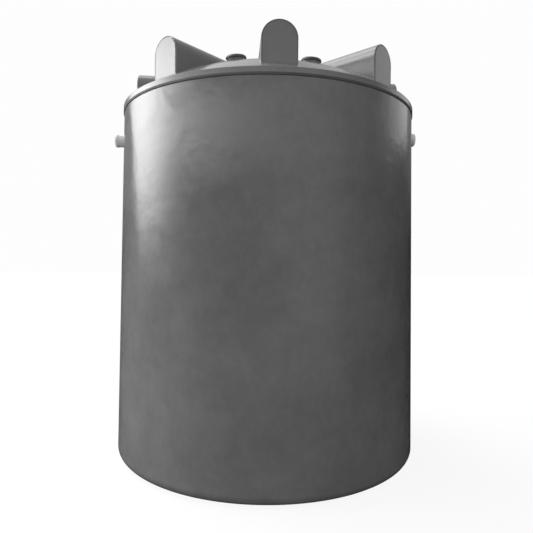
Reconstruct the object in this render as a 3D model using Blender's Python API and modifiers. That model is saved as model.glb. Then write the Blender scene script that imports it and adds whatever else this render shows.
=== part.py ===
"""Biogas digester: a closed upright tank with a ribbed, domed lid.

Metres, +Z up. The origin is the centre of the underside. The front rib of
the lid points to -Y, the inlet pipe to +X and the outlet pipe to -X.
"""

import math

import bmesh
import bpy
from mathutils import Euler, Matrix, Vector

# Gap kept between pieces that touch, and thickness of every shell
SEAT = 0.0003
WALL = 0.010

# Body
BASE_RADIUS = 1.295
TOP_RADIUS = 1.265
CORNER = 0.075
BODY_TOP = 2.880
FOOT_STEPS = 6
SECTORS = 8
SECTOR = 2 * math.pi / SECTORS
STEPS = 12
TURN_STEPS = SECTORS * STEPS

# Seal between body and lid
SEAL_HEIGHT = 0.016
SEAL_INNER = 1.257
LID_BOTTOM = BODY_TOP + SEAL_HEIGHT

# Lid
LID_RADIUS = 1.272
BAND_HEIGHT = 0.040
BAND_TOP = LID_BOTTOM + BAND_HEIGHT
DOME_SPHERE = 2.240
DOME_APEX = 3.323
DOME_CENTRE = DOME_APEX - DOME_SPHERE
LEDGE_RADIUS = math.sqrt(DOME_SPHERE**2 - (BAND_TOP - DOME_CENTRE) ** 2)
LEDGE_SEAM = 0.010
BAND_SEAM = 0.020
CROWN_RADIUS = 0.300
DOME_STEPS = 14
CROWN_STEPS = 5
CUTTER_BOTTOM = 2.700

# Ribs of the lid
RIB_FACE = 1.162
RIB_HALF_WIDTH = 0.129
RIB_TOP = 3.301
RIB_FALL = 0.014
RIB_INNER_END = 0.250
RIB_BOTTOM = 2.900
RIB_STEPS = 16
HOLLOW_STEPS = 12
HOLLOW_REACH = 0.050

# Inspection ports
PORT_RADIUS_OUT = 0.700
PORT_LEAN = math.radians(8)
PORT_ANGLES = {
    "front_right": 25.0,
    "back_right": 155.0,
    "back_left": 205.0,
    "front_left": 335.0,
}
NECK_RADIUS = 0.074
NECK_BORE = 0.066
NECK_UP = 0.032
NECK_DOWN = 0.030
CAP_RADIUS = 0.082
CAP_BORE = 0.0746
CAP_BOTTOM = 0.015
CAP_TOP = 0.040
CAP_ROUND = 0.022
CAP_STEPS = 6
HOLE_REACH = 0.080

# Pipe stubs
PIPE_RADIUS = 0.0570
PIPE_BORE = 0.0520
PIPE_END = 1.366
PIPE_START = 1.200
INLET_HEIGHT = 2.790
OUTLET_HEIGHT = 2.713
LIP_RADIUS = 0.0590
LIP_LENGTH = 0.026

# Sides of a port or pipe
ROUND_SIDES = 32

# Finishes: linear grey and roughness
SHELL_FINISH = (0.125, 0.30)
LID_FINISH = (0.135, 0.30)
SEAL_FINISH = (0.030, 0.70)
CAP_FINISH = (0.035, 0.45)
PIPE_FINISH = (0.350, 0.40)
SHARP = math.radians(30)

PLACES = (
    "front",
    "front_right",
    "right",
    "back_right",
    "back",
    "back_left",
    "left",
    "front_left",
)


def clear_scene():
    """Remove whatever the opened scene holds."""
    for item in list(bpy.data.objects):
        bpy.data.objects.remove(item, do_unlink=True)


def make_collection(name, hidden=False):
    """Add a collection to the scene."""
    made = bpy.data.collections.new(name)
    made.hide_render = hidden
    bpy.context.scene.collection.children.link(made)
    return made


def make_material(name, finish):
    """Plain grey Principled material."""
    grey, roughness = finish
    colour = (grey, grey, grey, 1.0)
    made = bpy.data.materials.new(name)
    made.use_nodes = True
    shader = made.node_tree.nodes["Principled BSDF"]
    shader.inputs["Base Color"].default_value = colour
    shader.inputs["Roughness"].default_value = roughness
    made.diffuse_color = colour
    return made


def add_object(name, mesh, collection, material=None):
    """Link a mesh as an object, smooth but for its sharp edges."""
    made = bpy.data.objects.new(name, mesh)
    collection.objects.link(made)
    if material:
        mesh.materials.append(material)
    mesh.shade_smooth()
    mesh.set_sharp_from_angle(angle=SHARP)
    return made


def mesh_of(name, shape):
    """Turn a bmesh into a mesh with its normals facing out."""
    bmesh.ops.recalc_face_normals(shape, faces=shape.faces)
    mesh = bpy.data.meshes.new(name)
    shape.to_mesh(mesh)
    shape.free()
    return mesh


def arc(centre_r, centre_z, radius, start, end, count):
    """Points of an arc in the (radius, height) plane, angles in degrees."""
    points = []
    for step in range(count + 1):
        angle = math.radians(start + (end - start) * step / count)
        r = centre_r + radius * math.cos(angle)
        points.append((r, centre_z + radius * math.sin(angle)))
    return points


def spun(name, profile, middle, width, steps):
    """Spin a closed profile about Z, through width, centred on azimuth middle.

    Azimuth 0 is -Y and grows towards +X.
    """
    shape = bmesh.new()
    start = middle - width / 2 - math.pi / 2
    turn = Matrix.Rotation(start, 4, "Z")
    ring = [shape.verts.new(turn @ Vector((r, 0.0, z))) for r, z in profile]
    face = shape.faces.new(ring)
    bmesh.ops.spin(
        shape,
        geom=list(face.verts) + list(face.edges) + [face],
        cent=(0, 0, 0),
        axis=(0, 0, 1),
        angle=width,
        steps=steps,
        use_duplicate=False,
    )
    return mesh_of(name, shape)


def turned(name, profile, closed, steps, collection, material=None):
    """Turn a profile about Z by a Screw modifier.

    A closed profile stands clear of the axis. An open one starts and ends on it.
    """
    count = len(profile)
    edges = [(i, (i + 1) % count) for i in range(count if closed else count - 1)]
    mesh = bpy.data.meshes.new(name)
    mesh.from_pydata([(r, 0.0, z) for r, z in profile], edges, [])
    if material:
        mesh.materials.append(material)
    made = bpy.data.objects.new(name, mesh)
    collection.objects.link(made)
    screw = made.modifiers.new("turn", "SCREW")
    screw.steps = steps
    screw.render_steps = steps
    screw.use_merge_vertices = True
    screw.merge_threshold = 0.0001
    return made


def ring_profile(outer, inner, bottom, top):
    """Section of a plain ring."""
    return [(inner, top), (outer, top), (outer, bottom), (inner, bottom)]


def cut(target, cutter):
    """Subtract one object from another."""
    boolean = target.modifiers.new("cut_" + cutter.name, "BOOLEAN")
    boolean.operation = "DIFFERENCE"
    boolean.solver = "EXACT"
    boolean.object = cutter


def cylinder(name, radius, bottom, top, sides, collection, material=None):
    """Closed cylinder on Z."""
    shape = bmesh.new()
    bmesh.ops.create_cone(
        shape,
        cap_ends=True,
        segments=sides,
        radius1=radius,
        radius2=radius,
        depth=top - bottom,
        matrix=Matrix.Translation((0, 0, (top + bottom) / 2)),
    )
    return add_object(name, mesh_of(name, shape), collection, material)


def as_helper(item):
    """Show a cutter as wire only."""
    item.display_type = "WIRE"
    item.hide_render = True


def azimuth(index):
    """Azimuth of a rib or wall by its number, in radians."""
    return index * SECTOR


def along(angle, radius, height):
    """Point at an azimuth, a radius and a height."""
    x = radius * math.sin(angle)
    return Vector((x, -radius * math.cos(angle), height))


def dome_height(radius):
    """Height of the dome's outer face."""
    return DOME_CENTRE + math.sqrt(DOME_SPHERE**2 - radius**2)


def wall_profile():
    """Section of the body's wall with its rounded foot."""
    inner = CORNER - WALL
    foot_r = BASE_RADIUS - CORNER
    outside = arc(foot_r, CORNER, CORNER, 0, -90, FOOT_STEPS)
    inside = arc(foot_r, CORNER, inner, -90, 0, FOOT_STEPS)
    top_out = (TOP_RADIUS, BODY_TOP)
    top_in = (TOP_RADIUS - WALL, BODY_TOP)
    return [top_out] + outside + inside + [top_in]


def build_walls(collection, material):
    """Eight wall segments, each centred on a rib's azimuth."""
    walls = {}
    gap = SEAT / BASE_RADIUS
    for index, place in enumerate(PLACES):
        name = "wall_" + place
        width = SECTOR - gap
        mesh = spun(name, wall_profile(), azimuth(index), width, STEPS)
        walls[place] = add_object(name, mesh, collection, material)
    return walls


def build_floor(collection, material):
    """Flat floor inside the rounded foot."""
    radius = BASE_RADIUS - CORNER - 2 * SEAT
    return cylinder("tank_floor", radius, 0.0, WALL, TURN_STEPS, collection, material)


def build_seal(collection, material):
    """Seal ring that the lid rests on."""
    bottom = BODY_TOP + SEAT
    profile = ring_profile(LID_RADIUS, SEAL_INNER, bottom, LID_BOTTOM - SEAT)
    return turned("lid_seal", profile, True, TURN_STEPS, collection, material)


def sphere_points(radius, r_from, r_to, count):
    """Points of a dome's section between two radii."""
    points = []
    for step in range(count + 1):
        r = r_from + (r_to - r_from) * step / count
        points.append((r, DOME_CENTRE + math.sqrt(radius**2 - r**2)))
    return points


def lid_profile():
    """Section of a lid panel: dome, ledge and upright band."""
    seam = LEDGE_RADIUS - LEDGE_SEAM
    outside = sphere_points(DOME_SPHERE, CROWN_RADIUS, LEDGE_RADIUS, DOME_STEPS)
    inside = sphere_points(DOME_SPHERE - WALL, seam, CROWN_RADIUS, DOME_STEPS)
    band = [
        (LID_RADIUS, BAND_TOP),
        (LID_RADIUS, LID_BOTTOM),
        (SEAL_INNER, LID_BOTTOM),
        (SEAL_INNER, LID_BOTTOM + BAND_SEAM),
    ]
    return outside + band + inside


def build_lid_panels(collection, material):
    """Eight lid panels whose joints lie under the ribs."""
    panels = []
    gap = SEAT / LID_RADIUS
    for index in range(SECTORS):
        name = f"lid_panel_{index + 1}"
        middle = azimuth(index) + SECTOR / 2
        mesh = spun(name, lid_profile(), middle, SECTOR - gap, STEPS)
        panels.append(add_object(name, mesh, collection, material))
    return panels


def build_crown(collection, material):
    """Middle of the dome, where the ribs have run out."""
    radius = CROWN_RADIUS - 2 * SEAT
    outside = sphere_points(DOME_SPHERE, 0.0, radius, CROWN_STEPS)
    inside = sphere_points(DOME_SPHERE - WALL, radius, 0.0, CROWN_STEPS)
    profile = outside + inside
    return turned("dome_crown", profile, False, TURN_STEPS, collection, material)


def arch_outline(half_width, top, steps):
    """Upright outline with a half-round top, as (across, height) points."""
    points = [(half_width, RIB_BOTTOM)]
    points += arc(0.0, top - half_width, half_width, 0, 180, steps)
    points.append((-half_width, RIB_BOTTOM))
    return points


def arch_block(name, inset, end, steps):
    """Arch drawn from near the rim towards the axis, its ridge falling a little.

    It stands at azimuth 0, and inset draws its top, sides and face in.
    """
    face = RIB_FACE - inset
    outline = arch_outline(RIB_HALF_WIDTH - inset, RIB_TOP - inset, steps)
    shape = bmesh.new()
    ring = [shape.verts.new((x, -face, z)) for x, z in outline]
    front = shape.faces.new(ring)
    drawn = bmesh.ops.extrude_face_region(shape, geom=[front])
    moved = [item for item in drawn["geom"] if isinstance(item, bmesh.types.BMVert)]
    fall = -(face - end) * RIB_FALL
    bmesh.ops.translate(shape, verts=moved, vec=(0.0, face - end, fall))
    return mesh_of(name, shape)


def build_dome_cutter(helpers):
    """Solid whose top follows the dome's outer face, a seat's gap above it."""
    crown = sphere_points(DOME_SPHERE, 0.0, CROWN_RADIUS, CROWN_STEPS)
    outside = sphere_points(DOME_SPHERE, CROWN_RADIUS, LEDGE_RADIUS, DOME_STEPS)
    edge = [(LID_RADIUS, BAND_TOP), (LID_RADIUS, CUTTER_BOTTOM)]
    profile = crown[:-1] + outside + edge + [(0.0, CUTTER_BOTTOM)]
    raised = [(r, z + SEAT) for r, z in profile]
    made = turned("dome_cutter", raised, False, TURN_STEPS, helpers)
    as_helper(made)
    return made


def build_ribs(collection, helpers, material):
    """Eight hollow ribs that run from near the rim into the dome."""
    dome = build_dome_cutter(helpers)
    for index, place in enumerate(PLACES):
        name = "rib_" + place
        outer = arch_block(name, 0.0, RIB_INNER_END, RIB_STEPS)
        rib = add_object(name, outer, collection, material)
        hollow_name = name + "_hollow"
        inner = arch_block(hollow_name, WALL, RIB_INNER_END - HOLLOW_REACH, HOLLOW_STEPS)
        hollow = add_object(hollow_name, inner, helpers)
        as_helper(hollow)
        rib.rotation_euler.z = azimuth(index)
        hollow.rotation_euler.z = azimuth(index)
        cut(rib, hollow)
        cut(rib, dome)


def port_matrix(angle):
    """Place on the dome whose Z leans a little away from the axis."""
    spot = along(angle, PORT_RADIUS_OUT, dome_height(PORT_RADIUS_OUT))
    turn = Euler((PORT_LEAN, 0.0, angle), "XYZ").to_matrix().to_4x4()
    return Matrix.Translation(spot) @ turn


def build_ports(collection, helpers, panels, neck_material, cap_material):
    """Short neck through the dome with a round cap, four times."""
    ring = ring_profile(NECK_RADIUS, NECK_BORE, -NECK_DOWN, NECK_UP)
    side_top = CAP_TOP - CAP_ROUND
    rounded = arc(CAP_RADIUS - CAP_ROUND, side_top, CAP_ROUND, 90, 0, CAP_STEPS)
    under = [(CAP_RADIUS, CAP_BOTTOM), (CAP_BORE, CAP_BOTTOM)]
    inside = [(CAP_BORE, NECK_UP + SEAT), (0.0, NECK_UP + SEAT)]
    shell = [(0.0, CAP_TOP)] + rounded + under + inside
    hole_radius = NECK_RADIUS + SEAT
    for place, degrees in PORT_ANGLES.items():
        angle = math.radians(degrees)
        neck_name = "port_neck_" + place
        cap_name = "port_cap_" + place
        hole_name = "port_hole_" + place
        neck = turned(neck_name, ring, True, ROUND_SIDES, collection, neck_material)
        cap = turned(cap_name, shell, False, ROUND_SIDES, collection, cap_material)
        hole = cylinder(hole_name, hole_radius, -HOLE_REACH, HOLE_REACH, ROUND_SIDES, helpers)
        as_helper(hole)
        for item in (neck, cap, hole):
            item.matrix_world = port_matrix(angle)
        cut(panels[int(angle // SECTOR)], hole)


def build_pipe(name, side, height, wall, collection, helpers, material):
    """Pipe stub through the wall with the lip at its end."""
    turn = Euler((0.0, side * math.pi / 2, 0.0), "XYZ").to_matrix().to_4x4()
    spot = Matrix.Translation((0.0, 0.0, height)) @ turn
    hole_radius = PIPE_RADIUS + SEAT
    tube = ring_profile(PIPE_RADIUS, PIPE_BORE, PIPE_START, PIPE_END)
    band = ring_profile(LIP_RADIUS, hole_radius, PIPE_END - LIP_LENGTH, PIPE_END)
    pipe = turned(name + "_pipe", tube, True, ROUND_SIDES, collection, material)
    lip = turned(name + "_lip", band, True, ROUND_SIDES, collection, material)
    hole = cylinder(name + "_hole", hole_radius, PIPE_START, PIPE_END, ROUND_SIDES, helpers)
    as_helper(hole)
    for item in (pipe, lip, hole):
        item.matrix_world = spot
    cut(wall, hole)


def main():
    """Build the digester."""
    clear_scene()
    body = make_collection("biogas_digester")
    helpers = make_collection("cutters", hidden=True)
    shell = make_material("body_gelcoat", SHELL_FINISH)
    lid = make_material("lid_gelcoat", LID_FINISH)
    rubber = make_material("black_seal", SEAL_FINISH)
    plastic = make_material("black_cap", CAP_FINISH)
    pipe = make_material("grey_pipe", PIPE_FINISH)

    walls = build_walls(body, shell)
    build_floor(body, shell)
    build_seal(body, rubber)
    panels = build_lid_panels(body, lid)
    build_crown(body, lid)
    build_ribs(body, helpers, lid)
    build_ports(body, helpers, panels, lid, plastic)
    build_pipe("inlet", 1, INLET_HEIGHT, walls["right"], body, helpers, pipe)
    build_pipe("outlet", -1, OUTLET_HEIGHT, walls["left"], body, helpers, pipe)


if __name__ == "__main__":
    main()
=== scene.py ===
"""Biogas digester: the dressed model, its floor, its light and its camera.

Metres, +Z up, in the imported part's frame: the front rib points to -Y, the
inlet pipe to +X and the outlet pipe to -X.
"""

from __future__ import annotations

import logging
import math
from dataclasses import dataclass
from enum import Enum
from typing import Any, Callable, Optional, Sequence, Union

import bmesh
import bpy
from mathutils import Euler, Matrix, Vector


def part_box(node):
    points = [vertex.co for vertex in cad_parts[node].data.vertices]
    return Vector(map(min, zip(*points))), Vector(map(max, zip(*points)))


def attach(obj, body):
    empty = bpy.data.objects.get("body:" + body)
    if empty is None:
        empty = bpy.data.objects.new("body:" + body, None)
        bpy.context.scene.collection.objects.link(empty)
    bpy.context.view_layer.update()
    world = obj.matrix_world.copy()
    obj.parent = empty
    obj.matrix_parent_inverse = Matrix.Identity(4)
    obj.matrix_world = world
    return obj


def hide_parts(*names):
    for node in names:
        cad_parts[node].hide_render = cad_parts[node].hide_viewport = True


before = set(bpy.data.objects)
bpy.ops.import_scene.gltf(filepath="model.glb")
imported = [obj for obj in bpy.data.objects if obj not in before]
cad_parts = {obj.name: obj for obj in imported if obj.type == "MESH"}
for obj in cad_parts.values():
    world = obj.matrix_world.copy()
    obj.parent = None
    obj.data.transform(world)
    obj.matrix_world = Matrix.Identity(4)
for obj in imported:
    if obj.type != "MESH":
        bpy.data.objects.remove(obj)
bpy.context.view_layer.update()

LOG = logging.getLogger("digester")
BODY = "root"

# Wall of the mouldings, their inner radius where they meet, and the gap between pieces
SHELL = 0.010
SEAT_RADIUS = 1.257
SEAM = 0.0003
# Steps round the tank
ROUND_STEPS = 288

Point = tuple[float, float]
Span = tuple[float, float]
Triple = tuple[float, float, float]
Term = Union["Signal", float]
Axes = tuple["Signal", "Signal", "Signal"]


class Slot(Enum):
    """Names of material slots; nothing in this script uses them."""

    BODY = "body_gelcoat"
    LID = "lid_gelcoat"
    SEAL = "black_seal"
    CAP = "black_cap"
    PIPE = "grey_pipe"


class Place(Enum):
    """The eight directions of the walls and ribs, in order from the front."""

    FRONT = "front"
    FRONT_RIGHT = "front_right"
    RIGHT = "right"
    BACK_RIGHT = "back_right"
    BACK = "back"
    BACK_LEFT = "back_left"
    LEFT = "left"
    FRONT_LEFT = "front_left"

    @property
    def azimuth(self) -> float:
        """Angle about Z from -Y towards +X, in radians."""
        return list(Place).index(self) * math.pi / 4


class PortPlace(Enum):
    """Azimuth of each inspection port, in degrees from -Y towards +X."""

    FRONT_RIGHT = 25.0
    BACK_RIGHT = 155.0
    BACK_LEFT = 205.0
    FRONT_LEFT = 335.0


class Side(Enum):
    """Where a pipe stub points."""

    INLET = 1
    OUTLET = -1


def low(node: str, axis: int) -> float:
    """Lowest coordinate of a CAD node along an axis."""
    return float(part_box(node)[0][axis])


def high(node: str, axis: int) -> float:
    """Highest coordinate of a CAD node along an axis."""
    return float(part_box(node)[1][axis])


class Signal:
    """A node's output socket whose arithmetic adds Math nodes."""

    def __init__(self, bench: "Bench", socket: bpy.types.NodeSocket) -> None:
        """Wrap a socket of a bench's node tree."""
        self.bench = bench
        self.socket = socket

    def _math(self, operation: str, first: Term, second: Term) -> "Signal":
        """Add one Math node.

        Args:
            operation: The Math node's operation.
            first: Value or signal of the first socket.
            second: Value or signal of the second socket.

        Returns:
            The node's result.
        """
        return self.bench.add("ShaderNodeMath", {"operation": operation}, {0: first, 1: second})

    def __add__(self, other: Term) -> "Signal":
        """Sum."""
        return self._math("ADD", self, other)

    def __radd__(self, other: Term) -> "Signal":
        """Sum with a number on the left."""
        return self._math("ADD", other, self)

    def __sub__(self, other: Term) -> "Signal":
        """Difference."""
        return self._math("SUBTRACT", self, other)

    def __rsub__(self, other: Term) -> "Signal":
        """Difference from a number."""
        return self._math("SUBTRACT", other, self)

    def __mul__(self, other: Term) -> "Signal":
        """Product."""
        return self._math("MULTIPLY", self, other)

    def __truediv__(self, other: Term) -> "Signal":
        """Quotient."""
        return self._math("DIVIDE", self, other)

    def __pow__(self, other: Term) -> "Signal":
        """Power."""
        return self._math("POWER", self, other)

    def most(self, other: Term) -> "Signal":
        """The larger of this and another value."""
        return self._math("MAXIMUM", self, other)

    def step(self, start: float, end: float) -> "Signal":
        """Smooth rise from 0 at start to 1 at end.

        Args:
            start: Value that gives 0.
            end: Value that gives 1, which may be the smaller one.

        Returns:
            The mask.
        """
        settings = {"interpolation_type": "SMOOTHSTEP"}
        sockets = {"Value": self, "From Min": min(start, end), "From Max": max(start, end)}
        mask = self.bench.add("ShaderNodeMapRange", settings, sockets, out="Result")
        return mask if end > start else 1 - mask


class Bench:
    """The node tree of a material or of the surroundings, and the ways to add to it."""

    def __init__(self, owner: Union[bpy.types.Material, bpy.types.World], output: str) -> None:
        """Empty the owner's tree but for an output.

        Args:
            owner: The material or the world.
            output: Type of its output node.
        """
        owner.use_nodes = True
        self.owner = owner
        self.tree = owner.node_tree
        self.tree.nodes.clear()
        self.output = self.tree.nodes.new(output)

    @classmethod
    def for_finish(cls, name: str) -> "Bench":
        """Start a new material."""
        return cls(bpy.data.materials.new(name), "ShaderNodeOutputMaterial")

    def close(self, shader: Signal) -> None:
        """Link a shader to the output's surface."""
        self.tree.links.new(shader.socket, self.output.inputs["Surface"])

    def add(
        self,
        kind: str,
        settings: Optional[dict[str, Any]] = None,
        sockets: Optional[dict[Union[str, int], Any]] = None,
        out: Union[str, int] = 0,
    ) -> Signal:
        """Add a node, settings first.

        Args:
            kind: The node's type.
            settings: Properties of the node, such as a Math node's operation.
            sockets: Values or signals by input name or number.
            out: Name or number of the output to return.

        Returns:
            The chosen output.
        """
        node = self.tree.nodes.new(kind)
        for key, value in (settings or {}).items():
            setattr(node, key, value)
        for key, value in (sockets or {}).items():
            self._feed(node.inputs[key], value)
        return Signal(self, node.outputs[out])

    def _feed(self, target: bpy.types.NodeSocket, value: Any) -> None:
        """Link a signal to a socket, or set its value.

        Args:
            target: The input socket.
            value: Signal, number, vector or colour.
        """
        if isinstance(value, Signal):
            self.tree.links.new(value.socket, target)
        else:
            target.default_value = value

    def place(self) -> Signal:
        """Position on the piece in metres."""
        return self.add("ShaderNodeTexCoord", out="Object")

    def axes(self, vector: Signal) -> Axes:
        """X, Y and Z of a vector."""
        x = self.add("ShaderNodeSeparateXYZ", None, {0: vector})
        node = x.socket.node
        return x, Signal(self, node.outputs[1]), Signal(self, node.outputs[2])

    def stretched(self, vector: Signal, scale: Triple, shift: float) -> Signal:
        """Scale and shift a position.

        Args:
            vector: The position.
            scale: Factor along each axis.
            shift: Distance added along each axis, which gives another pattern.

        Returns:
            The new position.
        """
        sockets = {0: vector, 1: scale, 2: (shift, shift, shift)}
        return self.add("ShaderNodeVectorMath", {"operation": "MULTIPLY_ADD"}, sockets)

    def noise(self, vector: Signal, scale: float, detail: float, warp: float) -> Signal:
        """Cloudy noise about 0, mostly within a half either way.

        Args:
            vector: The position.
            scale: Clouds per metre.
            detail: Number of finer layers.
            warp: How far the clouds are pulled about.

        Returns:
            The noise.
        """
        sockets = {"Vector": vector, "Scale": scale, "Detail": detail, "Distortion": warp}
        return self.add("ShaderNodeTexNoise", None, sockets) - 0.5

    def blend(self, factor: Term, first: Any, second: Any) -> Signal:
        """Mix two colours.

        Args:
            factor: 0 for the first colour and 1 for the second.
            first: Colour or signal.
            second: Colour or signal.

        Returns:
            The mixed colour.
        """
        settings = {"data_type": "RGBA", "clamp_factor": True}
        return self.add("ShaderNodeMix", settings, {0: factor, 6: first, 7: second}, out=2)

    def finish(
        self,
        colour: Any,
        roughness: Any,
        height: Optional[Signal] = None,
        constants: Optional[dict[str, Any]] = None,
    ) -> bpy.types.Material:
        """Close the tree with a Principled shader.

        Args:
            colour: Base colour.
            roughness: Roughness.
            height: Relief in metres, or None.
            constants: Values of other sockets that are the same all over.

        Returns:
            The material.
        """
        sockets = {"Base Color": colour, "Roughness": roughness, **(constants or {})}
        if height is not None:
            relief = {"Height": height, "Distance": 1.0, "Strength": 1.0}
            sockets["Normal"] = self.add("ShaderNodeBump", None, relief)
        shader = self.add("ShaderNodeBsdfPrincipled", None, sockets)
        self.close(shader)
        return self.owner


def grey(value: float) -> tuple[float, float, float, float]:
    """Neutral colour of a linear value."""
    return (value, value, value, 1.0)


@dataclass(frozen=True)
class Pattern:
    """Cloudy noise on a surface, and how much it changes the surface.

    The scale is in clouds per metre, and the height in metres.
    """

    scale: float
    detail: float = 2.0
    warp: float = 0.0
    stretch: Triple = (1.0, 1.0, 1.0)
    shift: float = 0.0
    tone: float = 0.0
    roughness: float = 0.0
    height: float = 0.0

    def noise(self, bench: Bench, spot: Signal) -> Signal:
        """The pattern at a spot, about 0."""
        place = bench.stretched(spot, self.stretch, self.shift)
        return bench.noise(place, self.scale, self.detail, self.warp)


@dataclass(frozen=True)
class Finish:
    """Surface between a dark and a light tone, varied by its patterns."""

    name: str
    dark: float
    light: float
    middle: float
    roughness: float
    ior: float = 1.5

    def patterns(self) -> tuple[Pattern, ...]:
        """The surface's patterns."""
        return ()

    def material(self) -> bpy.types.Material:
        """Material built from the sum of the patterns."""
        bench = Bench.for_finish(self.name)
        spot = bench.place()
        sums: dict[str, Term] = {"tone": self.middle, "roughness": self.roughness, "height": 0.0}
        for pattern in self.patterns():
            noise = pattern.noise(bench, spot)
            for quality in sums:
                share = getattr(pattern, quality)
                if share:
                    sums[quality] = sums[quality] + noise * share
        colour = bench.blend(sums["tone"], grey(self.dark), grey(self.light))
        return bench.finish(colour, sums["roughness"], sums["height"], {"IOR": self.ior})


@dataclass(frozen=True)
class Gelcoat(Finish):
    """Glossy grey gelcoat over laminate: clouds, wipe marks and slow waves."""

    dark: float = 0.120
    light: float = 0.200
    middle: float = 0.45
    roughness: float = 0.18
    ior: float = 1.48
    wave_height: float = 0.0080
    ripple_height: float = 0.0036
    dent_height: float = 0.00070
    peel_height: float = 0.000020
    seed: float = 0.0

    def patterns(self) -> tuple[Pattern, ...]:
        """Patterns of the gelcoat's tone and gloss, then of its relief."""
        seed = self.seed
        flat, wiped, upright = (1.0, 1.0, 1.25), (0.9, 0.9, 2.2), (1.6, 1.6, 1.0)
        tall, squat = (1.0, 1.0, 0.8), (1.0, 1.0, 1.4)
        clouds = Pattern(scale=1.4, detail=3.0, warp=0.3, stretch=flat, shift=seed, tone=1.0, roughness=0.08)
        smears = Pattern(
            scale=1.6, detail=3.0, warp=0.5, stretch=wiped, shift=seed + 7.0, tone=0.3, roughness=0.06
        )
        mottle = Pattern(scale=6.5, detail=5.0, warp=0.4, shift=seed + 5.0, tone=0.6, roughness=0.12)
        specks = Pattern(scale=260.0, tone=0.10, roughness=0.03)
        dust = Pattern(
            scale=16.0, detail=5.0, warp=0.6, stretch=upright, shift=seed, tone=0.45, roughness=0.12
        )
        waves = Pattern(
            scale=1.5, detail=1.5, warp=0.4, stretch=tall, shift=seed + 3.0, height=self.wave_height
        )
        ripples = Pattern(
            scale=5.0, detail=1.2, warp=0.5, stretch=tall, shift=seed, height=self.ripple_height
        )
        dents = Pattern(
            scale=14.0, detail=1.5, warp=0.4, stretch=squat, shift=seed + 2.0, height=self.dent_height
        )
        peel = Pattern(scale=190.0, height=self.peel_height)
        return (clouds, smears, mottle, specks, dust, waves, ripples, dents, peel)


@dataclass(frozen=True)
class Rubber(Finish):
    """Dull black seal with dust in its pores."""

    dark: float = 0.085
    light: float = 0.145
    middle: float = 0.4
    roughness: float = 0.62

    def patterns(self) -> tuple[Pattern, ...]:
        """Dusty patches and fine pores."""
        patches = Pattern(scale=9.0, detail=4.0, warp=0.5, tone=1.0, roughness=0.2)
        return (patches, Pattern(scale=420.0, detail=3.0, tone=0.3, height=0.00012))


@dataclass(frozen=True)
class CapPlastic(Finish):
    """Black moulded plastic, a little scuffed on its top."""

    dark: float = 0.045
    light: float = 0.125
    middle: float = 0.35
    roughness: float = 0.42

    def patterns(self) -> tuple[Pattern, ...]:
        """Dust and the mould's grain."""
        dust = Pattern(scale=22.0, detail=5.0, warp=0.8, tone=1.2, roughness=0.25)
        return (dust, Pattern(scale=600.0, tone=0.2, height=0.00005))


@dataclass(frozen=True)
class PipePlastic(Finish):
    """Light grey pipe plastic with fine drawing lines and handling marks."""

    dark: float = 0.84
    light: float = 0.97
    middle: float = 0.5
    roughness: float = 0.24

    def patterns(self) -> tuple[Pattern, ...]:
        """Marks from handling, and fine drawing lines."""
        fine = (2.0, 160.0, 160.0)
        marks = Pattern(scale=14.0, detail=5.0, warp=0.9, tone=1.1, roughness=0.2)
        lines = Pattern(scale=2.0, detail=3.0, stretch=fine, tone=0.25, roughness=0.08, height=0.00005)
        return (marks, lines)


@dataclass(frozen=True)
class FloorPaint:
    """Matt floor that glows pale, with a faint mottle."""

    name: str
    base: float = 0.08
    base_spread: float = 0.012
    pale: float = 0.985
    pale_spread: float = 0.010
    glow: float = 0.92
    middle: float = 0.5
    roughness: float = 0.8
    mottle: Pattern = Pattern(scale=0.7, detail=4.0, warp=0.3, tone=0.8, roughness=0.05)

    def material(self) -> bpy.types.Material:
        """Material of the floor."""
        bench = Bench.for_finish(self.name)
        noise = self.mottle.noise(bench, bench.place())
        tone = self.middle + noise * self.mottle.tone
        colour = bench.blend(tone, grey(self.base - self.base_spread), grey(self.base + self.base_spread))
        glow = bench.blend(tone, grey(self.pale - self.pale_spread), grey(self.pale))
        shine = {"Specular IOR Level": 0.0, "Emission Color": glow, "Emission Strength": self.glow}
        return bench.finish(colour, self.roughness + noise * self.mottle.roughness, None, shine)


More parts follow.
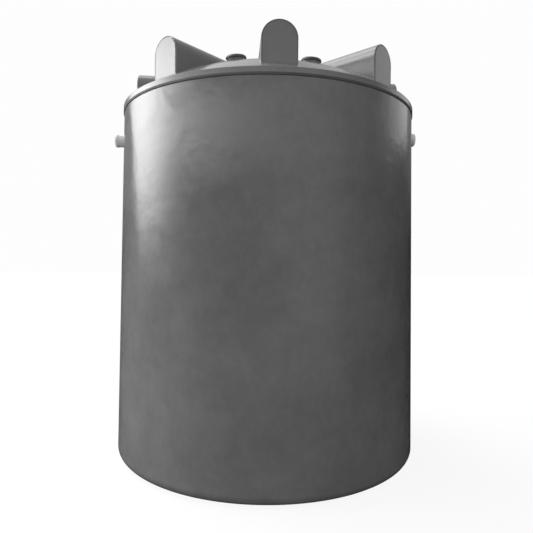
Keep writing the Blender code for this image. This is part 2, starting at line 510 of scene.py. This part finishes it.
class Mesher:
    """Collects rings of points and skins them."""

    def __init__(self) -> None:
        """Start an empty mesh."""
        self.shape = bmesh.new()

    def loft(
        self,
        sections: Sequence[Sequence[Vector]],
        around: bool = True,
        along: bool = False,
        caps: bool = False,
    ) -> None:
        """Skin a row of sections with quads.

        Args:
            sections: Rows of points, all with the same count.
            around: Join each section's last point to its first.
            along: Join the last section to the first.
            caps: Close the first and last sections with a face each.
        """
        rows = [[self.shape.verts.new(point) for point in section] for section in sections]
        count = len(rows[0])
        pairs = list(zip(rows, rows[1:]))
        if along:
            pairs.append((rows[-1], rows[0]))
        last = count if around else count - 1
        for here, there in pairs:
            for i in range(last):
                j = (i + 1) % count
                self.shape.faces.new((here[i], here[j], there[j], there[i]))
        if caps:
            self.shape.faces.new(list(reversed(rows[0])))
            self.shape.faces.new(rows[-1])

    def revolve(
        self,
        profile: Sequence[Point],
        segments: int,
        closed: bool = False,
        swell: Optional[Callable[[float, int], float]] = None,
    ) -> None:
        """Turn a profile about Z.

        Args:
            profile: Points as (radius, height).
            segments: Number of steps round the axis.
            closed: The profile's last point joins its first.
            swell: Distance added to the radius, from the angle and the point's number.
        """
        sections = []
        for step in range(segments):
            angle = 2 * math.pi * step / segments
            across, deep = math.cos(angle), math.sin(angle)
            section = []
            for index, (r, z) in enumerate(profile):
                out = r + (swell(angle, index) if swell and r > 0 else 0.0)
                section.append(Vector((out * across, out * deep, z)))
            sections.append(section)
        self.loft(sections, around=closed, along=True)

    def build(self, name: str, sharp: float = 35.0, weld: float = 1e-6) -> bpy.types.Object:
        """Turn the collected faces into an object.

        Args:
            name: The object's name.
            sharp: Edges that turn by more than this many degrees stay crisp.
            weld: Points this close become one.

        Returns:
            The object, linked to the scene.
        """
        bmesh.ops.remove_doubles(self.shape, verts=self.shape.verts, dist=weld)
        bmesh.ops.recalc_face_normals(self.shape, faces=self.shape.faces)
        mesh = bpy.data.meshes.new(name)
        self.shape.to_mesh(mesh)
        self.shape.free()
        mesh.shade_smooth()
        mesh.set_sharp_from_angle(angle=math.radians(sharp))
        made = bpy.data.objects.new(name, mesh)
        bpy.context.scene.collection.objects.link(made)
        return made


def arc(centre: Point, radius: float, start: float, end: float, steps: int) -> list[Point]:
    """Points on a circle.

    Args:
        centre: Middle of the circle.
        radius: Its radius.
        start: First angle in degrees, from the first axis.
        end: Last angle in degrees.
        steps: Number of parts.

    Returns:
        The points, both ends with them.
    """
    angles = [math.radians(start + (end - start) * i / steps) for i in range(steps + 1)]
    return [(centre[0] + radius * math.cos(a), centre[1] + radius * math.sin(a)) for a in angles]


def eased(corners: Sequence[Triple], steps: int, guard_share: float = 0.3) -> list[Point]:
    """Round the corners of an outline and keep the faces beside them flat.

    Args:
        corners: Each corner as (first, second, radius); radius 0 keeps it.
        steps: Parts of each rounding.
        guard_share: Distance from a rounding to the point that keeps the face beside it
            flat, as a share of the radius.

    Returns:
        The outline's points in order, without closing it.
    """
    points: list[Point] = []
    for index, (a, b, radius) in enumerate(corners):
        here = Vector((a, b))
        if radius == 0 or index in (0, len(corners) - 1):
            points.append((a, b))
            continue
        before = (Vector(corners[index - 1][:2]) - here).normalized()
        after = (Vector(corners[index + 1][:2]) - here).normalized()
        half = before.angle(after) / 2
        reach = radius / math.tan(half)
        guard = reach + guard_share * radius
        middle = here + (before + after).normalized() * (radius / math.sin(half))
        first = here + before * reach - middle
        last = here + after * reach - middle
        turn = first.angle_signed(last) if first.length and last.length else 0.0
        points.append(tuple(here + before * guard))
        for i in range(steps + 1):
            spin = Matrix.Rotation(-turn * i / steps, 2)
            spot = middle + spin @ first
            points.append((spot.x, spot.y))
        points.append(tuple(here + after * guard))
    return points


def dress(piece: bpy.types.Object, finish: bpy.types.Material, nodes: Sequence[str]) -> None:
    """Give a piece its finish and tie it to the frame.

    Args:
        piece: The piece.
        finish: Its material.
        nodes: CAD nodes that it stands for.
    """
    piece.data.materials.append(finish)
    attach(piece, BODY)
    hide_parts(*nodes)
    stands_for = ", ".join(nodes)
    LOG.info("%s: %d faces, stands for %s", piece.name, len(piece.data.polygons), stands_for)


@dataclass
class Dome:
    """The lid's dome as a part of a sphere, read from the frame."""

    sphere: float = 2.240
    apex: float = high("dome_crown", 2)

    def height(self, radius: float) -> float:
        """Height of the outer face at a radius."""
        return self.apex - self.sphere + math.sqrt(self.sphere**2 - radius**2)

    def section(self, start: float, end: float, steps: int, inside: float = 0.0) -> list[Point]:
        """Points of the dome's section.

        Args:
            start: First radius.
            end: Last radius.
            steps: Number of parts.
            inside: Distance in from the outer face.

        Returns:
            Points as (radius, height).
        """
        ball = self.sphere - inside
        radii = [start + (end - start) * i / steps for i in range(steps + 1)]
        return [(r, self.apex - self.sphere + math.sqrt(ball**2 - r**2)) for r in radii]


@dataclass
class Body:
    """Tank body: a round wall with a rounded foot and a flat floor."""

    base_radius: float = high("wall_right", 0)
    top_radius: float = 1.265
    top: float = high("wall_front", 2)
    foot: float = 0.075
    thickness: float = SHELL
    edge: float = 0.002
    guard: float = 0.006
    floor_ring: float = 0.5
    foot_steps: int = 12
    inner_foot_steps: int = 8
    rim_steps: int = 3
    segments: int = ROUND_STEPS

    def profile(self) -> list[Point]:
        """Section from the axis underneath, round the wall and back to the axis.

        Returns:
            Points as (radius, height).
        """
        foot_r = self.base_radius - self.foot
        ring = foot_r * self.floor_ring
        under = [(0.0, 0.0), (ring, 0.0)]
        outside = arc((foot_r, self.foot), self.foot, -90, 0, self.foot_steps)
        slope = (self.base_radius - self.top_radius) / (self.top - self.foot)
        outside.append((self.base_radius - slope * self.guard, self.foot + self.guard))
        rim = eased(
            [
                (self.base_radius, self.foot, 0.0),
                (self.top_radius, self.top, self.edge),
                (self.top_radius - self.thickness, self.top, self.edge),
                (self.base_radius - self.thickness, self.foot, 0.0),
            ],
            self.rim_steps,
        )
        inner_foot = self.foot - self.thickness
        inside = arc((foot_r, self.foot), inner_foot, 0, -90, self.inner_foot_steps)
        floor = [(ring, self.thickness), (0.0, self.thickness)]
        return under + outside + rim[1:-1] + inside + floor

    def build(self, finish: bpy.types.Material) -> None:
        """Build the body.

        Args:
            finish: Its material.
        """
        maker = Mesher()
        maker.revolve(self.profile(), self.segments)
        piece = maker.build("tank_body")
        nodes = ["wall_" + place.value for place in Place] + ["tank_floor"]
        dress(piece, finish, nodes)


@dataclass
class Seal:
    """Black seal strip between body and lid."""

    radius: float = high("lid_seal", 0)
    inner: float = SEAT_RADIUS
    bottom: float = low("lid_seal", 2)
    top: float = high("lid_seal", 2)
    bead: float = 0.0045
    groove_half: float = 0.001
    groove_depth: float = 0.003
    bead_steps: int = 4
    segments: int = ROUND_STEPS

    def build(self, finish: bpy.types.Material) -> None:
        """Build the seal.

        Args:
            finish: Its material.
        """
        middle = (self.bottom + self.top) / 2
        corners = [
            (self.inner, self.bottom, 0.0),
            (self.radius, self.bottom, self.bead),
            (self.radius, middle - self.groove_half, 0.0),
            (self.radius - self.groove_depth, middle, 0.0),
            (self.radius, middle + self.groove_half, 0.0),
            (self.radius, self.top, self.bead),
            (self.inner, self.top, 0.0),
        ]
        maker = Mesher()
        maker.revolve(eased(corners, self.bead_steps), self.segments, closed=True)
        dress(maker.build("seal_strip"), finish, ["lid_seal"])


@dataclass
class Lid:
    """Domed lid with its ledge and upright band."""

    dome: Dome
    radius: float = high("lid_seal", 0)
    bottom: float = high("lid_seal", 2) + SEAM
    band: float = 0.040
    inner: float = SEAT_RADIUS
    thickness: float = SHELL
    brim: float = 0.012
    ledge_round: float = 0.010
    band_round: float = 0.0030
    hem_round: float = 0.0015
    seat: float = 0.020
    dome_steps: int = 26
    inner_steps: int = 20
    edge_steps: int = 6
    segments: int = ROUND_STEPS

    def profile(self) -> list[Point]:
        """Section from the apex, over the edge and back to the axis inside.

        Returns:
            Points as (radius, height).
        """
        top = self.bottom + self.band
        base = top - (self.dome.apex - self.dome.sphere)
        ledge = math.sqrt(self.dome.sphere**2 - base**2)
        brim = ledge - self.brim
        outside = self.dome.section(0.0, brim, self.dome_steps)
        edge = eased(
            [
                (brim, self.dome.height(brim), 0.0),
                (ledge, top, self.ledge_round),
                (self.radius, top, self.band_round),
                (self.radius, self.bottom, self.hem_round),
                (self.inner, self.bottom, 0.0),
            ],
            self.edge_steps,
        )
        inside = self.dome.section(ledge - self.thickness, 0.0, self.inner_steps, self.thickness)
        return outside + edge[1:] + [(self.inner, self.bottom + self.seat)] + inside

    def build(self, finish: bpy.types.Material) -> None:
        """Build the lid.

        Args:
            finish: Its material.
        """
        maker = Mesher()
        maker.revolve(self.profile(), self.segments)
        nodes = [f"lid_panel_{number}" for number in range(1, len(Place) + 1)] + ["dome_crown"]
        dress(maker.build("lid_shell"), finish, nodes)


@dataclass
class Rib:
    """Half-round rib of the lid with a flat, round-topped end."""

    dome: Dome
    half_width: float = high("rib_front", 0)
    top: float = high("rib_front", 2)
    face: float = -low("rib_front", 1)
    inner_end: float = 0.33
    fall: float = 0.014
    edge: float = 0.005
    fillet: float = 0.006
    sink: float = 0.004
    groove_inset: float = 0.0005
    groove_width: float = 0.0055
    groove_depth: float = 0.0045
    plate_insets: Triple = (0.030, 0.060, 0.095)
    fillet_start: float = 0.80
    fillet_fade: float = 0.12
    fillet_least: float = 0.0005
    fillet_tuck: float = 0.001
    arch_steps: int = 32
    wall_steps: int = 5
    length_steps: int = 40
    edge_steps: int = 6
    foot_steps: int = 14
    corner_steps: int = 4
    fillet_steps: int = 5
    weld: float = 2e-5

    def section(self, out: float, inset: float) -> list[Vector]:
        """Cross-section of the rib.

        Args:
            out: Distance from the tank's axis.
            inset: How far the outline is drawn in, at the rounded edge.

        Returns:
            Points from the left foot over the arch to the right foot.
        """
        half = self.half_width - inset
        crest = self.top - inset - self.fall * (self.face - out)
        spring = crest - half
        foot = self.dome.height(math.hypot(out, half)) - self.sink
        points = []
        for i in range(self.wall_steps):
            points.append((-half, foot + (spring - foot) * i / self.wall_steps))
        points += arc((0.0, spring), half, 180, 0, self.arch_steps)
        for i in reversed(range(self.wall_steps)):
            points.append((half, foot + (spring - foot) * i / self.wall_steps))
        section = []
        for across, z in points:
            least = self.dome.height(math.hypot(out, across)) - self.sink
            section.append(Vector((across, -out, max(z, least))))
        return section

    def face_rows(self) -> list[list[Vector]]:
        """Rows of the rounded edge, of the groove inside it and of the flat end.

        Returns:
            Cross-sections in order.
        """
        rows = []
        for step in range(1, self.edge_steps + 1):
            lean = math.radians(90 * step / self.edge_steps)
            out = self.face - self.edge + self.edge * math.sin(lean)
            rows.append(self.section(out, self.edge * (1 - math.cos(lean))))
        start = self.edge + self.groove_inset
        end = start + self.groove_width
        for inset, sunk in ((start, 0.0), (start, self.groove_depth), (end, self.groove_depth), (end, 0.0)):
            rows.append(self.section(self.face - sunk, inset))
        for inset in self.plate_insets:
            rows.append(self.section(self.face, inset))
        return rows

    def foot_line(self) -> list[tuple[Vector, Vector]]:
        """The rib's outline on the dome, from above.

        Returns:
            Points, each with its outward direction.
        """
        line = []
        end = self.face - self.edge
        length = end - self.fillet_start
        outs = [self.fillet_start + length * i / self.foot_steps for i in range(self.foot_steps)]
        for out in outs:
            line.append((Vector((-self.half_width, out)), Vector((-1.0, 0.0))))
        corner = self.half_width - self.edge
        for across, first, last in ((-corner, 180, 90), (corner, 90, 0)):
            for i in range(self.corner_steps + 1):
                turn = math.radians(first + (last - first) * i / self.corner_steps)
                away = Vector((math.cos(turn), math.sin(turn)))
                line.append((Vector((across, end)) + away * self.edge, away))
        for out in reversed(outs):
            line.append((Vector((self.half_width, out)), Vector((1.0, 0.0))))
        return line

    def fillet_rows(self) -> list[list[Vector]]:
        """Hollow rounding between the rib and the dome, which grows out of the dome.

        Returns:
            Sections of the rounding in order.
        """
        tuck = self.fillet_tuck
        rows = []
        for spot, away in self.foot_line():
            fade = min(1.0, max(0.0, (spot.y - self.fillet_start) / self.fillet_fade))
            size = self.fillet * fade + self.fillet_least
            hollow = arc((size, size), size, 180, 270, self.fillet_steps)
            row = []
            for out, up in [(-tuck, size), *hollow, (size + tuck, -tuck)]:
                at = spot + away * out
                row.append(Vector((at.x, -at.y, self.dome.height(at.length) + up)))
            rows.append(row)
        return rows

    def build(self, place: Place, finish: bpy.types.Material) -> None:
        """Build one rib.

        Args:
            place: Where it stands.
            finish: Its material.
        """
        maker = Mesher()
        steps = self.length_steps
        length = self.face - self.edge - self.inner_end
        outs = [self.inner_end + length * i / steps for i in range(steps + 1)]
        rows = [self.section(out, 0.0) for out in outs] + self.face_rows()
        maker.loft(rows, around=True, caps=True)
        maker.loft(self.fillet_rows(), around=False)
        piece = maker.build("rib_shell_" + place.value, weld=self.weld)
        piece.rotation_euler.z = place.azimuth
        dress(piece, finish, ["rib_" + place.value])


@dataclass
class Port:
    """Inspection port: a short neck on the dome and a round screw cap."""

    dome: Dome
    out: float = 0.700
    lean: float = math.radians(8)
    neck_radius: float = 0.074
    neck_bore: float = 0.066
    neck_top: float = 0.032
    neck_bottom: float = -0.030
    cap_radius: float = 0.082
    cap_bore: float = 0.0746
    cap_bottom: float = 0.015
    cap_top: float = 0.040
    cap_round: float = 0.020
    cap_turn: Span = (88.0, 8.0)
    dish_depth: float = 0.0015
    dish_radius: float = 0.040
    dish_edge: float = 0.044
    skirt: float = 0.002
    edge: float = 0.001
    grips: int = 24
    grip_depth: float = 0.0022
    grip_power: float = 0.6
    neck_segments: int = 72
    edge_steps: int = 3
    round_steps: int = 8
    grip_segments: int = 8

    def stand(self, place: PortPlace) -> Matrix:
        """Place on the dome whose Z leans a little away from the axis.

        Args:
            place: Where the port stands.

        Returns:
            The place's matrix.
        """
        angle = math.radians(place.value)
        spot = Vector((self.out * math.sin(angle), -self.out * math.cos(angle), self.dome.height(self.out)))
        return Matrix.Translation(spot) @ Euler((self.lean, 0.0, angle), "XYZ").to_matrix().to_4x4()

    def build_neck(self, place: PortPlace, finish: bpy.types.Material) -> None:
        """Build one neck.

        Args:
            place: Where it stands.
            finish: Its material.
        """
        corners = [
            (self.neck_bore, self.neck_bottom, 0.0),
            (self.neck_radius, self.neck_bottom, self.edge),
            (self.neck_radius, self.neck_top, self.edge),
            (self.neck_bore, self.neck_top, 0.0),
        ]
        name = place.name.lower()
        maker = Mesher()
        maker.revolve(eased(corners, self.edge_steps), self.neck_segments, closed=True)
        piece = maker.build("port_collar_" + name)
        piece.matrix_world = self.stand(place)
        dress(piece, finish, ["port_neck_" + name])

    def build_cap(self, place: PortPlace, finish: bpy.types.Material) -> None:
        """Build one cap with grip ridges round its side.

        Args:
            place: Where it stands.
            finish: Its material.
        """
        side = self.cap_top - self.cap_round
        dish = self.cap_top - self.dish_depth
        seat = self.neck_top + SEAM
        crown = [(0.0, dish), (self.dish_radius, dish), (self.dish_edge, self.cap_top)]
        centre = (self.cap_radius - self.cap_round, side)
        crown += arc(centre, self.cap_round, *self.cap_turn, self.round_steps)
        first_grip = len(crown)
        grip = [(self.cap_radius, side - self.edge), (self.cap_radius, self.cap_bottom + self.skirt)]
        last_grip = first_grip + len(grip)
        under = [(self.cap_radius - self.skirt, self.cap_bottom), (self.cap_bore, self.cap_bottom)]
        inside = [(self.cap_bore, seat), (0.0, seat)]

        def swell(angle: float, index: int) -> float:
            """Depth of the grooves between the grips."""
            ridge = abs(math.sin(angle * self.grips / 2)) ** self.grip_power
            return -self.grip_depth * (1 - ridge) if first_grip <= index < last_grip else 0.0

        name = place.name.lower()
        maker = Mesher()
        maker.revolve(crown + grip + under + inside, self.grips * self.grip_segments, swell=swell)
        piece = maker.build("port_lid_" + name)
        piece.matrix_world = self.stand(place)
        dress(piece, finish, ["port_cap_" + name])


@dataclass
class Stub:
    """Pipe stub through the wall with a lip at its end."""

    side: Side
    radius: float = high("inlet_pipe", 1)
    bore: float = 0.052
    start: float = low("inlet_pipe", 0)
    end: float = high("inlet_pipe", 0)
    lip_radius: float = high("inlet_lip", 1)
    lip_start: float = low("inlet_lip", 0)
    wall: float = 1.2660
    weld: float = 0.009
    weld_sink: float = 0.004
    groove_width: float = 0.006
    groove_depth: float = 0.0035
    overlap: float = 0.001
    edge: float = 0.001
    groove_edge: float = 0.0004
    end_round: float = 0.0015
    lip_seat: float = 0.002
    lip_round: float = 0.0085
    edge_steps: int = 3
    bead_steps: int = 6
    segments: int = 96

    @property
    def name(self) -> str:
        """Name of the stub."""
        return self.side.name.lower()

    def stand(self) -> Matrix:
        """Matrix of the place whose Z runs out along the stub."""
        node = self.name + "_pipe"
        height = (low(node, 2) + high(node, 2)) / 2
        turn = Euler((0.0, self.side.value * math.pi / 2, 0.0), "XYZ").to_matrix().to_4x4()
        return Matrix.Translation((0.0, 0.0, height)) @ turn

    def build_pipe(self, finish: bpy.types.Material) -> None:
        """Build the pipe with its groove and its weld bead at the wall.

        Args:
            finish: Its material.
        """
        groove = self.lip_start - self.groove_width
        groove_end = self.lip_start + self.overlap
        groove_radius = self.radius - self.groove_depth
        corners = [
            (self.bore, self.start, 0.0),
            (self.radius, self.start, self.edge),
            (self.radius, groove, self.groove_edge),
            (groove_radius, groove, 0.0),
            (groove_radius, groove_end, 0.0),
            (self.radius, groove_end, 0.0),
            (self.radius, self.end, self.end_round),
            (self.bore, self.end, 0.0),
        ]
        maker = Mesher()
        maker.revolve(eased(corners, self.edge_steps), self.segments, closed=True)
        bead = arc((self.radius + self.weld, self.wall + self.weld), self.weld, 180, 270, self.bead_steps)
        sunk = self.wall - self.weld_sink
        weld = [(self.radius - self.overlap, sunk), *bead, (self.radius + self.weld, sunk)]
        maker.revolve(weld, self.segments)
        piece = maker.build(self.name + "_stub")
        piece.matrix_world = self.stand()
        dress(piece, finish, [self.name + "_pipe"])

    def build_lip(self, finish: bpy.types.Material) -> None:
        """Build the lip round the pipe's end.

        Args:
            finish: Its material.
        """
        seat = self.radius - self.lip_seat
        corners = [
            (seat, self.lip_start, 0.0),
            (self.lip_radius, self.lip_start, self.end_round),
            (self.lip_radius, self.end, self.lip_round),
            (seat, self.end, 0.0),
        ]
        maker = Mesher()
        maker.revolve(eased(corners, self.bead_steps), self.segments, closed=True)
        piece = maker.build(self.name + "_stub_lip")
        piece.matrix_world = self.stand()
        dress(piece, finish, [self.name + "_lip"])


@dataclass(frozen=True)
class Lobe:
    """Soft patch of light round a bearing, in degrees from -Y towards +X."""

    strength: float
    bearing: float
    narrowness: float

    def light(self, axes: Axes) -> Signal:
        """Light of the lobe at any height.

        Args:
            axes: The direction's X, Y and Z.

        Returns:
            The strength towards the bearing, and less away from it.
        """
        x, y, z = axes
        angle = math.radians(self.bearing)
        just_over_one = 1.0001
        flat = (just_over_one - z * z) ** 0.5
        cosine = (x * math.sin(angle) - y * math.cos(angle)) / flat
        return (cosine * 0.5 + 0.5).most(0.0) ** self.narrowness * self.strength


@dataclass(frozen=True)
class Surroundings:
    """What lights the tank and shows in its gloss: a soft sky, brightest on the left.

    A span is where a light starts or ends, softly, from its first value to its second.
    Spans named edge or turn are in degrees from -Y towards +X, and the others are sines
    of elevations. A lean is how many degrees an edge moves over a sine of 1.
    """

    backdrop: float = 0.985

    sky: float = 0.268
    sky_start: Span = (0.46, 0.56)
    left_sky: Lobe = Lobe(strength=7.17, bearing=-130.0, narrowness=15.75)
    left_sky_gloss: float = 0.4
    gap: Lobe = Lobe(strength=5.25, bearing=-87.0, narrowness=30.0)
    gap_end: Span = (0.88, 0.74)
    back: Lobe = Lobe(strength=0.277, bearing=176.0, narrowness=3.0)
    back_start: Span = (0.0, 0.3)

    key: Lobe = Lobe(strength=6.73, bearing=-102.9, narrowness=18.08)
    key_start: Span = (0.0, 0.22)
    key_end: Span = (0.477, 0.377)
    key_edge: Span = (-110.5, -103.5)
    key_lean: float = 100.0
    notch_start: Span = (0.325, 0.37)
    notch_turn: Span = (-78.0, -92.0)
    tail: Lobe = Lobe(strength=4.05, bearing=-68.5, narrowness=4.0)
    tail_start: Span = (0.18, 0.30)

    level: float = 0.84
    level_edge: Span = (-124.0, -106.0)
    level_lean: float = 56.0
    level_turn: Span = (-66.0, -96.0)
    level_start: Span = (-0.10, 0.06)
    level_end: Span = (0.3, 0.1)

    glow: Lobe = Lobe(strength=0.94, bearing=29.6, narrowness=8.62)
    glow_start: Span = (-0.25, -0.05)
    glow_end: Span = (0.777, 0.377)

    side: float = 1.29
    side_edge: Span = (78.0, 112.0)
    side_turn: Span = (140.0, 128.0)
    side_start: Span = (0.203, 0.273)
    side_end: Span = (0.5, 0.4)

    ground: Lobe = Lobe(strength=0.381, bearing=-34.8, narrowness=1.5)
    ground_start: Span = (-0.02, -0.12)
    nadir: Span = (-1.0, -0.40)
    nadir_share: float = 0.6

    def sky_light(self, bench: Bench, axes: Axes) -> Signal:
        """Light of the sky, of the gap in it and of the back.

        Args:
            bench: The world's nodes.
            axes: The direction's X, Y and Z.

        Returns:
            The radiance.
        """
        z = axes[2]
        glossy = bench.add("ShaderNodeLightPath", out="Is Glossy Ray")
        left_sky = self.left_sky.light(axes) * (1 - glossy * (1 - self.left_sky_gloss))
        gap = self.gap.light(axes) * z.step(*self.gap_end)
        sky = (left_sky + gap + self.sky) * z.step(*self.sky_start)
        return sky + self.back.light(axes) * z.step(*self.back_start)

    def key_light(self, axes: Axes, turn: Signal) -> Signal:
        """Bright light on the left and its tail, both with a notch at their top right.

        Args:
            axes: The direction's X, Y and Z.
            turn: The direction's bearing.

        Returns:
            The radiance.
        """
        z = axes[2]
        edge = (turn + z * self.key_lean).step(*self.key_edge)
        notch = 1 - z.step(*self.notch_start) * (1 - turn.step(*self.notch_turn))
        key = self.key.light(axes) * z.step(*self.key_start)
        tail = self.tail.light(axes) * z.step(*self.tail_start)
        return (key + tail) * edge * z.step(*self.key_end) * notch

    def low_light(self, axes: Axes, turn: Signal) -> Signal:
        """Light near the horizon and from the ground.

        Args:
            axes: The direction's X, Y and Z.
            turn: The direction's bearing.

        Returns:
            The radiance.
        """
        z = axes[2]
        level_edge = (turn + z * self.level_lean).step(*self.level_edge) * turn.step(*self.level_turn)
        level = level_edge * z.step(*self.level_start) * z.step(*self.level_end) * self.level
        glow = self.glow.light(axes) * z.step(*self.glow_start) * z.step(*self.glow_end)
        side_edge = turn.step(*self.side_edge) * turn.step(*self.side_turn)
        side = side_edge * z.step(*self.side_start) * z.step(*self.side_end) * self.side
        under = z.step(*self.nadir) * (1 - self.nadir_share) + self.nadir_share
        ground = self.ground.light(axes) * z.step(*self.ground_start) * under
        return level + glow + side + ground

    def light(self, bench: Bench) -> Signal:
        """Radiance in every direction.

        Args:
            bench: The world's nodes.

        Returns:
            The radiance.
        """
        axes = bench.axes(bench.add("ShaderNodeTexCoord", out="Generated"))
        x, y, _ = axes
        turn = bench.add("ShaderNodeMath", {"operation": "ARCTAN2"}, {0: x, 1: y * -1.0}) * math.degrees(1)
        return self.sky_light(bench, axes) + self.key_light(axes, turn) + self.low_light(axes, turn)

    def build(self) -> None:
        """Build the world."""
        world = bpy.data.worlds.new("surroundings")
        bpy.context.scene.world = world
        bench = Bench(world, "ShaderNodeOutputWorld")
        cast = bench.add("ShaderNodeBackground", None, {"Color": grey(1.0), "Strength": self.light(bench)})
        seen = bench.add("ShaderNodeBackground", None, {"Color": grey(self.backdrop)})
        camera_ray = bench.add("ShaderNodeLightPath", out="Is Camera Ray")
        bench.close(bench.add("ShaderNodeMixShader", None, {0: camera_ray, 1: cast, 2: seen}))


@dataclass
class Studio:
    """Floor, light and camera."""

    floor_half: float = 60.0
    camera_distance: float = 4.543
    camera_height: float = 1.6415
    camera_azimuth: float = -3.66
    yaw: float = 0.016
    pitch: float = -0.586
    roll: float = 0.646
    focal_pixels: float = 493.4
    frame_pixels: float = 533.0
    sensor: float = 36.0
    floor_drop: float = 0.0005
    floor_steps: int = 12
    panel_azimuth: float = -60.0
    panel_distance: float = 1.5
    panel_height: float = 9.0
    panel_side: float = 7.0
    panel_power: float = 25.0
    aim_height: float = 1.9

    def build_floor(self, finish: bpy.types.Material) -> None:
        """Lay the floor.

        Args:
            finish: Its material.
        """
        steps = self.floor_steps
        reach = [self.floor_half * (2 * i / steps - 1) for i in range(steps + 1)]
        maker = Mesher()
        maker.loft([[Vector((x, y, -self.floor_drop)) for x in reach] for y in reach], around=False)
        floor = maker.build("studio_floor")
        floor.data.materials.append(finish)
        floor.visible_diffuse = False
        floor.visible_glossy = False

    def build_light(self) -> None:
        """Hang a soft panel over the tank and set the surroundings."""
        light = bpy.data.lights.new("top_panel", "AREA")
        light.shape = "RECTANGLE"
        light.size = self.panel_side
        light.size_y = self.panel_side
        light.energy = self.panel_power
        panel = bpy.data.objects.new("top_panel", light)
        angle = math.radians(self.panel_azimuth)
        across, deep = self.panel_distance * math.sin(angle), -self.panel_distance * math.cos(angle)
        panel.location = (across, deep, self.panel_height)
        aim = Vector((0.0, 0.0, self.aim_height)) - panel.location
        panel.rotation_euler = aim.to_track_quat("-Z", "Y").to_euler()
        panel.visible_camera = False
        bpy.context.scene.collection.objects.link(panel)
        Surroundings().build()

    def build_camera(self) -> None:
        """Set the camera at the photograph's viewing angle."""
        lens = bpy.data.cameras.new("camera")
        lens.sensor_width = self.sensor
        lens.sensor_fit = "HORIZONTAL"
        lens.lens = self.sensor * self.focal_pixels / self.frame_pixels
        camera = bpy.data.objects.new("camera", lens)
        around = math.radians(self.camera_azimuth)
        camera.location = (
            self.camera_distance * math.sin(around),
            -self.camera_distance * math.cos(around),
            self.camera_height,
        )
        level = Matrix.Rotation(math.radians(90 + self.pitch), 3, "X")
        tilt = Matrix.Rotation(math.radians(self.roll), 3, "Z")
        turn = Matrix.Rotation(around - math.radians(self.yaw), 3, "Z")
        camera.rotation_euler = (turn @ level @ tilt).to_euler()
        bpy.context.scene.collection.objects.link(camera)
        bpy.context.scene.camera = camera
        bpy.context.scene.view_settings.view_transform = "Standard"


def main() -> None:
    """Build the digester and its studio."""
    logging.basicConfig(level=logging.INFO, format="%(message)s")
    dome = Dome()
    body_finish = Gelcoat("body_gelcoat_finish").material()
    lid_finish = Gelcoat(
        "lid_gelcoat_finish",
        dark=0.155,
        light=0.225,
        wave_height=0.0025,
        ripple_height=0.0012,
        dent_height=0.0003,
        seed=11.0,
    ).material()
    seal_finish = Rubber("seal_rubber_finish").material()
    cap_finish = CapPlastic("cap_plastic_finish").material()
    pipe_finish = PipePlastic("pipe_plastic_finish").material()

    Body().build(body_finish)
    Seal().build(seal_finish)
    Lid(dome).build(lid_finish)
    rib = Rib(dome)
    for place in Place:
        rib.build(place, lid_finish)
    port = Port(dome)
    for place in PortPlace:
        port.build_neck(place, lid_finish)
        port.build_cap(place, cap_finish)
    for side in Side:
        stub = Stub(side)
        stub.build_pipe(pipe_finish)
        stub.build_lip(pipe_finish)

    studio = Studio()
    studio.build_floor(FloorPaint("floor_paint_finish").material())
    studio.build_light()
    studio.build_camera()


if __name__ == "__main__":
    main()
